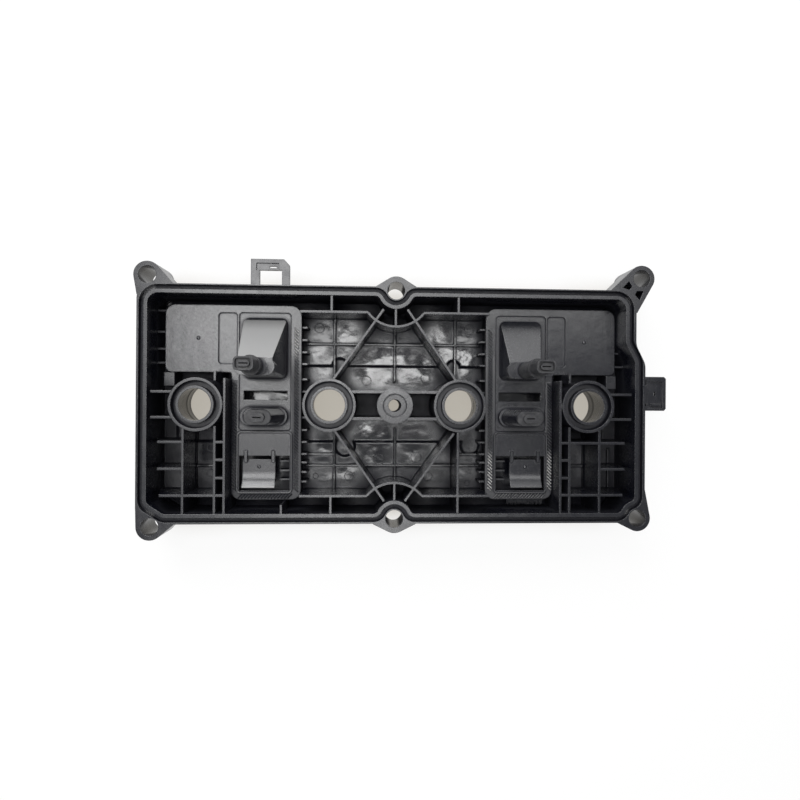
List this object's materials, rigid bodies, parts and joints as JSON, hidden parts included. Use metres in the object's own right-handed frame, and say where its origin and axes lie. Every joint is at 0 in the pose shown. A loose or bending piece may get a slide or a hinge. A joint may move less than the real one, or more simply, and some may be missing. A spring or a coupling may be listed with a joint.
{
  "type": "engine valve cover",
  "caption": "Moulded valve cover of a four-cylinder diesel engine, open side up, with stiffening ribs, injector tubes, two oil separator plates and rubber drain valves.",
  "frame": {"origin": "centre bolt's axis at the crown's outer face", "axes": "+X along the line of cylinders, +Y towards the long side with the slotted clip tab, +Z from the crown to the open sealing rim"},
  "size_m": [0.4282, 0.2228, 0.101],
  "materials": {
    "nylon_cover": "satin, black, glass-filled",
    "nylon_plate": "satin, black, glass-filled",
    "valve_rubber": "matte, black"
  },
  "bodies": {
    "root": {"cover": "nylon_cover", "separator_plate_left": "nylon_plate", "separator_plate_right": "nylon_plate", "drain_valve_upper_left": "valve_rubber", "drain_valve_upper_right": "valve_rubber", "drain_valve_lower_left": "valve_rubber", "drain_valve_lower_right": "valve_rubber"}
  },
  "joints": []
}
